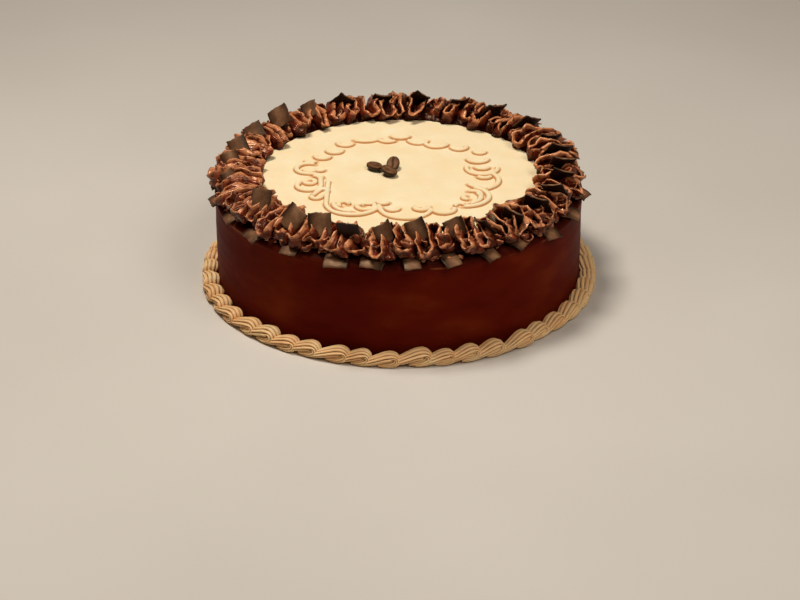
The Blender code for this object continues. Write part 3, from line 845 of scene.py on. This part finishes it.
def scrap_shape(draw, size, radius, height):
    """A short strip of icing, bent to an arc, at this radius and height on the ruffles."""
    sweep = math.radians(draw.uniform(110.0, 240.0))
    bend = size * draw.uniform(2.6, 4.6)
    width = size * draw.uniform(4.0, 6.5)
    steps = np.linspace(-0.5, 0.5, 17)[:, None]
    turn = full_turn(16)[None, :]
    thick = SCRAP_THICKNESS + 0.12 * np.cos(3.0 * turn)
    taper = np.sqrt(np.clip(1.0 - (2.0 * np.abs(steps)) ** 4, 0.02, 1.0))
    reach = bend * (1.0 + 0.2 * np.sin(steps * 5.0)) + thick * np.cos(turn) * taper
    lift = width / 2.0 * np.sin(turn) * taper * (1.0 + 0.2 * np.cos(steps * 9.0))
    flare = 1.0 + 0.16 * lift / width
    points = on_circle(reach * flare, steps * sweep, lift)
    around = math.radians(draw.uniform(0.0, 360.0))
    heading = Matrix.Rotation(around + draw.uniform(-0.8, 0.8), 3, "Z") @ random_turn(draw, 38.0)
    points = points @ np.array(heading).T
    points += on_circle(radius, around, height)
    warp(points, 4.0, 1.4)
    # Painted light: the strip's edges are marked as lips and turn light, and its faces are darker.
    return skin(points, marks=0.50 + 0.50 * np.abs(np.sin(turn)))


def crumb_shape(draw):
    """A crumb: a small ball, pulled out of round."""
    size = draw.uniform(0.8, 1.9)
    down = np.linspace(0.03, math.pi - 0.03, 9)[:, None]
    turn = full_turn(12)[None, :]
    points = on_circle(np.sin(down) * size, turn, np.cos(down)[..., 0][:, None] * size * -0.7)
    around = draw.uniform(0.0, TURN)
    radius = draw.uniform(CRUMBS_INNER, 119.6)
    points += on_circle(radius, around, 69.6 - 0.42 * (radius - CRUMBS_INNER))
    warp(points, 2.0, 1.3)
    # Painted highlight: a crumb is marked nearly as high as a lip.
    return skin(points, marks=0.9)


def scraps_shape():
    """Large scraps on the ruffles, small ones along their outer foot, and crumbs."""
    draw = random.Random(SCRAP_SEED)
    shapes = []
    for _ in range(SCRAPS):
        radius = draw.uniform(106.5, 115.5)
        height = draw.uniform(76.0, 80.0) - 0.35 * max(0.0, radius - 109.0)
        shapes.append(scrap_shape(draw, 1.0, radius, height))
    for _ in range(FOOT_SCRAPS):
        radius = draw.uniform(FOOT_SCRAPS_INNER, 118.5)
        height = draw.uniform(72.2, 74.6) - 0.55 * (radius - FOOT_SCRAPS_INNER)
        shapes.append(scrap_shape(draw, FOOT_SCRAP_SIZE, radius, height))
    return joined(shapes + [crumb_shape(draw) for _ in range(CRUMBS)])


piece("icing_scraps", scraps_shape(), ruffle_material, "chocolate_icing")

# %% [markdown]
# ## Thin curls of chocolate
# Squares of thin chocolate, curled as they came off the blade, stand in the ruffles and lean
# with them. Flatter ones lie under the ring's outer edge with their own far edge rolled down.
# One side is torn, dull and grey-brown, partly bloom and partly painted sheen, and darker
# towards its ends as painted shade. The other lay on the slab and is smooth, and painted nearly
# black as the shaded side. Each is a small ragged grid bent to part of a cylinder.
# The Solidify modifier gives it a wall and puts the second finish on the wall's other side,
# and Bevel softens its edge.

# %% Place the curls
# Each upper piece: place round the cake in degrees, distance from its middle,
# turn within its own plane, lean over to the next ruffle, width, bend, and how far
# it is swung round from pointing straight outwards.
UPPER_PIECES = [
    (-144.5, 108, 8, 30, 16.5, -80, -75),
    (-127.0, 110, -26, 36, 15.5, -65, -83),
    (-117.0, 108, 4, 26, 15.5, -40, -73),
    (-105.7, 112, 86, -18, 15.0, 12, -4),
    (-94.5, 109, 16, 14, 13.5, -95, -55),
    (-84.0, 108, 24, 16, 14.0, -90, -101),
    (-71.1, 108, 22, 18, 13.5, 80, -109),
    (-60.5, 109, -16, 38, 13.0, 40, 12),
    (-49.4, 110, 24, 34, 14.0, 26, 16),
    (-37.2, 109, 16, 34, 15.5, 14, 18),
    (-24.6, 110, -14, 36, 15.0, 26, 8),
    (-13.0, 108, 22, 34, 15.0, 26, 8),
    (-2.0, 107, 12, 38, 16.0, 22, 2),
    (8.6, 107, 18, 36, 16.0, 24, -2),
    (19.6, 106, 14, 38, 15.0, 26, -6),
    (34.5, 106, 30, 36, 15.5, 24, -14),
    (52.2, 107, 12, 38, 16.0, 34, -26),
    (67.3, 107, 8, 38, 14.5, 40, -42),
    (82.6, 106, 42, 30, 13.0, 30, -78),
    (96.4, 106, 10, 34, 13.5, 50, -92),
    (111.6, 106, 42, 26, 13.0, 40, -108),
    (126.3, 105, 38, 30, 13.0, -30, 10),
    (139.5, 107, 42, 30, 15.0, -14, 8),
    (154.3, 108, 38, 34, 13.5, -40, 10),
    (167.6, 109, 24, 30, 13.0, -60, 14),
    (178.6, 110, 14, 30, 13.0, -95, 20),
    (-168.4, 112, 20, 34, 11.0, -70, 14),
]
LOWER_FRONT = [-166.8, -153.5, -138.8, -124.1, -108.6, -97.6, -86.2, -74.6,
               -62.4, -50.8, -37.6, -23.0, -8.0]
LOWER_BACK = 13
print(len(UPPER_PIECES), "curls,", len(LOWER_FRONT) + LOWER_BACK, "flat pieces")

# %% Finish both sides of the curls
def bloom_and_sheen_finish():
    """The dull side of a curl, where the blade tore it off: scratched, and grey-brown as bloom and
    painted sheen.
    """
    material, tree, shader = finish("dull_chocolate")
    bloom = soft_noise(tree, 150.0, 6.0)
    scratches = soft_noise(tree, 330.0, 3.0, (1.0, 1.0, 6.0))
    # Partly painted sheen: the grey-brown is bloom and also the sheen of a lit face.
    colour = ramp(
        tree, bloom,
        (0.30, (0.100, 0.042, 0.020)), (0.52, (0.180, 0.086, 0.043)), (0.76, (0.310, 0.165, 0.088)),
    )
    # Painted shade: where the mark falls, towards the side edges, the dull side turns nearly black.
    colour = blended(tree, mark_of(tree), 0.0, 0.95, (0.024, 0.0085, 0.0040), colour)
    feed(tree, shader, {
        "Base Color": colour,
        "Roughness": spread(tree, scratches, 0.34, 0.54),
        "Specular IOR Level": 0.45,
        "Specular Tint": (1.0, 0.74, 0.50, 1.0),
    })
    relief(tree, shader, (bloom, 0.3, 0.4), (scratches, 0.5, 0.3))
    return material


def smooth_finish():
    """The side that lay on the slab: smooth, and painted nearly black as shade."""
    material, tree, shader = finish("dark_chocolate")
    clouds = soft_noise(tree, 180.0, 5.0)
    colour = ramp(tree, clouds, (0.35, (0.010, 0.0035, 0.0020)), (0.70, (0.030, 0.0110, 0.0060)))
    satin = spread(tree, clouds, 0.36, 0.56)
    feed(tree, shader, {"Base Color": colour, "Roughness": satin, "Specular IOR Level": 0.22})
    relief(tree, shader, (clouds, 0.3, 0.3))
    return material


# The two sides are lit and shaded copies of the chocolate: painted sheen and painted shade.
dull = bloom_and_sheen_finish()
smooth = smooth_finish()
print("curls:", len(dull.node_tree.nodes), "and", len(smooth.node_tree.nodes), "nodes")

# %% Make the curls
PIECE_THICKNESS = 1.2
PIECE_BEVEL = 0.28
PIECE_COLUMNS = 15
PIECE_ROWS = 11
RAGGEDNESS = 0.055
UPPER_FOOT = 74.6
LOWER_RADIUS = 118.4
LOWER_INNER_EDGE = 69.7
LOWER_SLOPE = 14.0
LOWER_ROLL = 1.6
LOWER_SEED = 60
PIECE_SEED = 5


def ragged(place, across, seed):
    """How far a torn edge stands out at each place along it, from the middle outwards."""
    return 1.0 + RAGGEDNESS * wobble(place * 8.0 + 4.0, 16, seed) * np.abs(across) * 2.0


def curl_object(name, width, height, bend, seed, where, node, roll=0.0):
    """One bent square: width along X, height along Z, then moved to its place.

    Roll is how far its far edge is curled over, in millimetres."""
    x = np.linspace(-0.5, 0.5, PIECE_COLUMNS)[:, None]
    z = np.linspace(-0.5, 0.5, PIECE_ROWS)[None, :]
    across = x * width * ragged(z, x, seed)
    along = z * height * ragged(x, z, seed + 50)
    arc = math.radians(bend)
    radius = width / arc
    sag = radius * (1.0 - math.cos(arc / 2.0)) / 2.0
    rolled = roll * np.clip(z, 0.0, 0.5) ** 2 * 4.0
    bent = radius * (1.0 - np.cos(across / radius)) - sag + rolled
    sides = np.broadcast_arrays(radius * np.sin(across / radius), bent, along)
    points = np.stack(sides, -1).reshape(-1, 3)
    corners = [0, 1, PIECE_ROWS + 1, PIECE_ROWS]
    faces = [
        [column * PIECE_ROWS + row + corner for corner in corners]
        for column in range(PIECE_COLUMNS - 1)
        for row in range(PIECE_ROWS - 1)
    ]
    # Painted shade: the mark is 1 across the middle and falls towards both side edges.
    lit = 1.0 - np.abs(2.0 * x + 0.25 * np.sin(seed)) ** 1.6
    mesh = mesh_of(name, points, faces, np.repeat(lit, PIECE_ROWS))
    mesh.transform(where)
    for material in (dull, smooth):
        mesh.materials.append(material)
    item = new_object(name, mesh)
    wall = item.modifiers.new("wall", "SOLIDIFY")
    wall.thickness = PIECE_THICKNESS * MM
    wall.offset = 0.0
    wall.material_offset = 1
    edge = item.modifiers.new("edge", "BEVEL")
    edge.width = PIECE_BEVEL * MM
    edge.segments = 2
    edge.limit_method = "ANGLE"
    bpy.context.view_layer.update()
    graph = bpy.context.evaluated_depsgraph_get()
    item.data = bpy.data.meshes.new_from_object(item.evaluated_get(graph))
    item.modifiers.clear()
    item.data.polygons.foreach_set("use_smooth", [True] * len(item.data.polygons))
    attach(item, "root")
    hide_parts(node)


def facing(where, axes, tilt, roll):
    """A place and a heading: axes, then a tilt about X and a roll about Y in degrees."""
    turn = Matrix(axes).transposed() @ turned(tilt, "X") @ turned(roll, "Y")
    return Matrix.Translation(Vector(where) * MM) @ turn.to_4x4()


def directions(angle):
    """Outwards and round the cake, at this angle."""
    outwards = Vector((math.cos(angle), math.sin(angle), 0.0))
    return outwards, Vector((-math.sin(angle), math.cos(angle), 0.0))


def upper_place(degrees, radius, turn, lean, size, heading):
    """Where a piece stands on edge in the ring, along the ruffles and leaning with them."""
    angle = math.radians(degrees)
    outwards, round_the_cake = directions(angle + math.radians(heading))
    if lean < 0:
        outwards, round_the_cake = round_the_cake, -outwards
    own = math.radians(abs(turn))
    half = size / 2.0 * (math.cos(own) + math.sin(own)) * math.cos(math.radians(lean))
    where = on_circle(radius, angle, UPPER_FOOT + half)
    axes = (outwards, round_the_cake, Vector((0.0, 0.0, 1.0)))
    return facing(where, axes, abs(lean), turn)


def lower_place(degrees, turn, slope, reach, half):
    """Where a piece lies on the cake's shoulder, with its outer edge free."""
    angle = math.radians(degrees)
    outwards, round_the_cake = directions(angle)
    down = math.radians(slope)
    height = LOWER_INNER_EDGE - (half * math.sin(down) + reach * math.tan(down))
    where = on_circle(LOWER_RADIUS + reach, angle, height)
    axes = (round_the_cake, Vector((0.0, 0.0, -1.0)), outwards)
    return facing(where, axes, -slope, turn)


def make_curls():
    """All upper pieces, then all lower ones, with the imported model's own random draws."""
    draw = random.Random(PIECE_SEED)
    for index, (degrees, radius, turn, lean, size, bend, heading) in enumerate(UPPER_PIECES):
        number = f"{index + 1:02d}"
        where = upper_place(degrees, radius, turn, lean, size, heading)
        height = size * draw.uniform(0.86, 1.0)
        node = f"upper_piece_{number}"
        curl_object(f"curl_{number}", size, height, bend, index, where, node)
    draw = random.Random(PIECE_SEED + 1)
    first = LOWER_FRONT[-1]
    last = LOWER_FRONT[0] + 360.0
    places = list(LOWER_FRONT)
    for index in range(LOWER_BACK):
        share = (index + 1) / (LOWER_BACK + 1)
        places.append(first + (last - first) * share + draw.uniform(-1.5, 1.5))
    for index, degrees in enumerate(places):
        number = f"{index + 1:02d}"
        width = draw.uniform(10.5, 15.5)
        height = draw.uniform(11.0, 14.5)
        bend = draw.uniform(8.0, 30.0)
        slope = LOWER_SLOPE + draw.uniform(-3.0, 3.0)
        turn = draw.uniform(-22.0, 22.0)
        own = math.radians(abs(turn))
        half = (width * math.sin(own) + height * math.cos(own)) / 2.0
        where = lower_place(degrees, turn, slope, draw.uniform(-1.0, 1.8), half)
        node = f"lower_piece_{number}"
        seed = LOWER_SEED + index
        curl_object(f"flat_{number}", width, height, bend, seed, where, node, LOWER_ROLL)
    return len(UPPER_PIECES), len(places)


print("made:", make_curls())

# %% [markdown]
# ## The shell border
# Each shell was squeezed out as a fat head against the cake, then drawn off to the side under
# the head of its neighbour, so the nozzle's ridges sweep up from a thin tail, over the head
# and down in a hook. A ridged bar along a hooked path shows just that. The path is given once,
# in millimetres along the border, out from the cake and up, and every shell varies it. The
# marks are low between the ridges, where painted shade makes the icing darker.

# %% Pipe the shells
SHELLS = 46
SHELL_TURN = -2.8
SHELL_JITTER = 0.09
BORDER_MIDDLE = 127.0
SHELL_LOBES = 9
SHELL_STEPS = 38
SHELL_SIDES = 54
SHELL_REACH = 13.4
SHELL_SEED = 77
BORDER_INNER = 120.9
BORDER_OUTER = 132.4
BORDER_TOP = 10.2

# Along the border, outwards, up, and half the thickness of the bar there.
SHELL_PATH = [
    (-13.5, 2.6, 1.6, 1.1),
    (-9.0, 2.0, 2.4, 1.9),
    (-4.5, 1.0, 3.6, 2.6),
    (0.5, 0.0, 5.0, 3.1),
    (5.0, -0.6, 6.2, 3.4),
    (8.4, -0.6, 6.4, 3.4),
    (10.4, 0.2, 5.2, 3.2),
    (10.2, 1.2, 3.4, 2.8),
    (7.2, 2.0, 2.2, 2.2),
    (3.0, 2.4, 1.8, 1.6),
    (-0.5, 2.6, 1.4, 0.9),
]


def border_finish():
    """Light and warm, with painted brown shade between the ridges."""
    material, tree, shader = finish("light_icing")
    clouds = soft_noise(tree, 70.0, 5.0)
    grain = soft_noise(tree, 800.0, 4.0)
    colour = ramp(
        tree, clouds,
        (0.28, (0.84, 0.48, 0.21)), (0.52, (0.93, 0.60, 0.29)), (0.76, (0.97, 0.70, 0.38)),
    )
    # Painted shade: low marks between the ridges turn dark brown.
    colour = blended(tree, mark_of(tree), 0.10, 0.75, (0.17, 0.042, 0.012), colour)
    feed(tree, shader, {
        "Base Color": colour,
        "Roughness": 0.55,
        "Subsurface Weight": 0.2,
        "Subsurface Radius": (1.0, 0.5, 0.25),
        "Subsurface Scale": 1.0 * MM,
    })
    relief(tree, shader, (clouds, 0.2, 0.4), (grain, 0.25, 0.15))
    return material


def through(points, count):
    """A smooth path of count points through the given ones."""
    points = np.array(points, float)
    before = 2 * points[:1] - points[1:2]
    after = 2 * points[-1:] - points[-2:-1]
    padded = np.concatenate([before, points, after])
    place = np.linspace(0.0, len(points) - 1.0001, count)
    first = place.astype(int)
    t = (place - first)[:, None]
    a, b, c, d = [padded[first + step] for step in range(4)]
    square = 2 * a - 5 * b + 4 * c - d
    cube = 3 * b - a - 3 * c + d
    return 0.5 * (2 * b + (c - a) * t + square * t**2 + cube * t**3)


def shell_shape(ends, size, draw):
    """One shell: a bar with lobes, along the hooked path, bent round the cake."""
    path = through(SHELL_PATH, SHELL_STEPS)
    place, out, up, half = (path * size).T
    place = place * draw.uniform(0.94, 1.1) + draw.uniform(-1.1, 1.1)
    out = out + draw.uniform(-0.8, 0.8)
    up = up * draw.uniform(0.84, 1.06)
    angle = ends + (place - SHELL_REACH) / BORDER_MIDDLE
    middle = on_circle(BORDER_MIDDLE + out, angle, up)
    outwards = on_circle(1.0, angle, 0.0)
    turn = full_turn(SHELL_SIDES)[None, :]
    twist = draw.uniform(0.0, 1.0) + 0.25 * np.linspace(-1.0, 1.0, len(path))[:, None]
    crest = np.abs(np.cos(SHELL_LOBES / 2.0 * (turn + twist))) ** 0.7
    lobes = 0.64 + 0.42 * crest
    section = np.stack([lobes * np.cos(turn), 1.6 * lobes * np.sin(turn)], -1)
    # The crest is the mark: low between the ridges, for the painted shade.
    points, faces, marks = bar(middle, half, outwards, section, crest)
    radius = np.hypot(points[:, 0], points[:, 1])
    keep = np.clip(radius, BORDER_INNER, BORDER_OUTER) / radius
    points[:, 0] *= keep
    points[:, 1] *= keep
    points[:, 2] = np.clip(points[:, 2], 0.0, BORDER_TOP)
    return points, faces, marks


def border_shape():
    """All shells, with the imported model's own draws for their places and sizes."""
    draw = random.Random(SHELLS)
    sizes = [draw.uniform(0.93, 1.05) for _ in range(SHELLS)]
    steps = [index + draw.uniform(-SHELL_JITTER, SHELL_JITTER) for index in range(SHELLS)]
    steps.append(steps[0] + SHELLS)
    ends = [math.radians(SHELL_TURN) + step / SHELLS * TURN for step in steps[1:]]
    draw = random.Random(SHELL_SEED)
    return joined([shell_shape(end, size, draw) for end, size in zip(ends, sizes)])


piece("shell_row", border_shape(), border_finish(), "light_icing", "shell_border")

# %% [markdown]
# ## The coffee beans
# Three roasted beans lie in the middle with their flat, grooved faces up. A sphere is pressed
# flat on that side, and a slightly bent groove is cut in by lowering the points along it. The
# roast is brown-grey where it catches light, and painted shade makes it nearly black in the
# groove and down the sides.

# %% Lay the beans
BEAN_LENGTH = 12.4
BEAN_WIDTH = 8.8
BEAN_HEIGHT = 5.2
BEAN_GAP = 0.3
BEAN_RINGS = 40
BEAN_SIDES = 56
FLATNESS = 0.62
GROOVE_DEPTH = 0.17
GROOVE_WIDTH = 0.045

# Each bean: x, y, how far it is lifted, and its heading and pitch in degrees.
BEANS = [(-15.8, 9.6, 0.0, -43.0, 0.0), (-6.2, 0.6, 0.9, -40.0, -10.0), (-3.6, 10.9, 1.0, 80.0, 25.0)]


def bean_finish():
    """Roasted: brown-grey on top, and painted nearly black as shade in the groove and down the sides."""
    material, tree, shader = finish("coffee_bean")
    clouds = soft_noise(tree, 260.0, 5.0)
    wrinkles = soft_noise(tree, 900.0, 4.0)
    colour = ramp(tree, clouds, (0.30, (0.058, 0.019, 0.007)), (0.70, (0.190, 0.080, 0.030)))
    # Painted shade: low marks, in the groove and down the sides, turn nearly black.
    colour = blended(tree, mark_of(tree), 0.0, 1.0, (0.010, 0.0032, 0.0014), colour)
    feed(tree, shader, {
        "Base Color": colour,
        "Roughness": spread(tree, clouds, 0.38, 0.6),
        "Specular IOR Level": 0.35,
        "Specular Tint": (1.0, 0.78, 0.55, 1.0),
    })
    relief(tree, shader, (clouds, 0.3, 0.3), (wrinkles, 0.3, 0.12))
    return material


def bean_shape(x, y, lift, heading, pitch):
    """A sphere pressed flat on top, with a groove, then turned and put in its place."""
    down = np.linspace(0.015, math.pi - 0.015, BEAN_RINGS)[:, None]
    turn = full_turn(BEAN_SIDES)[None, :]
    along = np.cos(down) * np.ones_like(turn) * 0.5
    side = np.sin(down) * np.cos(turn) * 0.5
    up = np.sin(down) * np.sin(turn) * 0.5
    top = up > 0.0
    pressed = np.where(top, 0.5 * FLATNESS * np.tanh(up / 0.5 * 2.2), up)
    line = side - 0.035 * np.sin(along * 7.0)
    ends = np.clip(1.15 - 2.0 * np.abs(along), 0.0, 1.0) ** 0.5
    groove = GROOVE_DEPTH * hump(line, 0.0, GROOVE_WIDTH) * ends
    pressed = np.where(top, pressed - groove * np.clip(up * 8.0, 0.0, 1.0), pressed)
    points = np.stack([along * BEAN_LENGTH, side * BEAN_WIDTH, pressed * BEAN_HEIGHT], -1)
    points = points @ np.array(turned(heading, "Z") @ turned(-pitch, "Y")).T
    points += (x, y, ICING_TOP + BEAN_GAP + BEAN_HEIGHT / 2.0 + lift)
    # Painted shade: the mark is high on the top and falls to 0 down the sides and in the groove.
    lit = np.clip(up * 4.5 - 0.2, 0.0, 1.0) * np.clip(1.0 - groove * 8.0, 0.0, 1.0)
    return skin(points, marks=lit)


bean_material = bean_finish()
for number, place in enumerate(BEANS, 1):
    shape = bean_shape(*place)
    piece(f"bean_{number}", shape, bean_material, "coffee_bean", f"coffee_bean_{number}")
